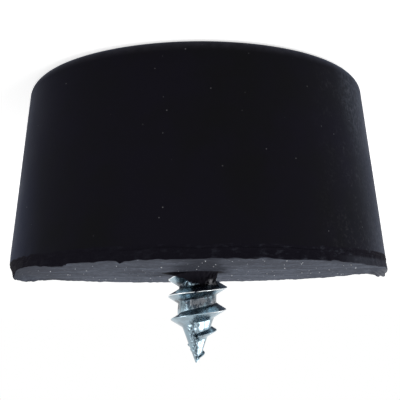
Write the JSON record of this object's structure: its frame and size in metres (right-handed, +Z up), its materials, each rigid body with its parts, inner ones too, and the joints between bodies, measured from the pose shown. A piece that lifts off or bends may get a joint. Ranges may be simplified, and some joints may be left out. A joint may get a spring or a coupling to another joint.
{
  "type": "rubber foot",
  "caption": "Round tapered rubber foot with a captive steel washer and a tapping screw standing out of its wide mounting face; it keeps a cabinet or bench box off the surface.",
  "frame": {"origin": "centre of the floor face, on the floor", "axes": "+Z up, from the floor face to the mounting face, along the screw towards its point; +X and +Y lie in the floor"},
  "size_m": [0.0302, 0.0302, 0.0221],
  "materials": {
    "black_rubber": "smooth moulded black rubber with a low gloss",
    "washer_steel": "plain stamped steel",
    "zinc_plate": "bright blue-white zinc plate on steel"
  },
  "bodies": {
    "root": {"rubber_foot": "black_rubber", "washer": "washer_steel", "screw": "zinc_plate"}
  },
  "joints": []
}
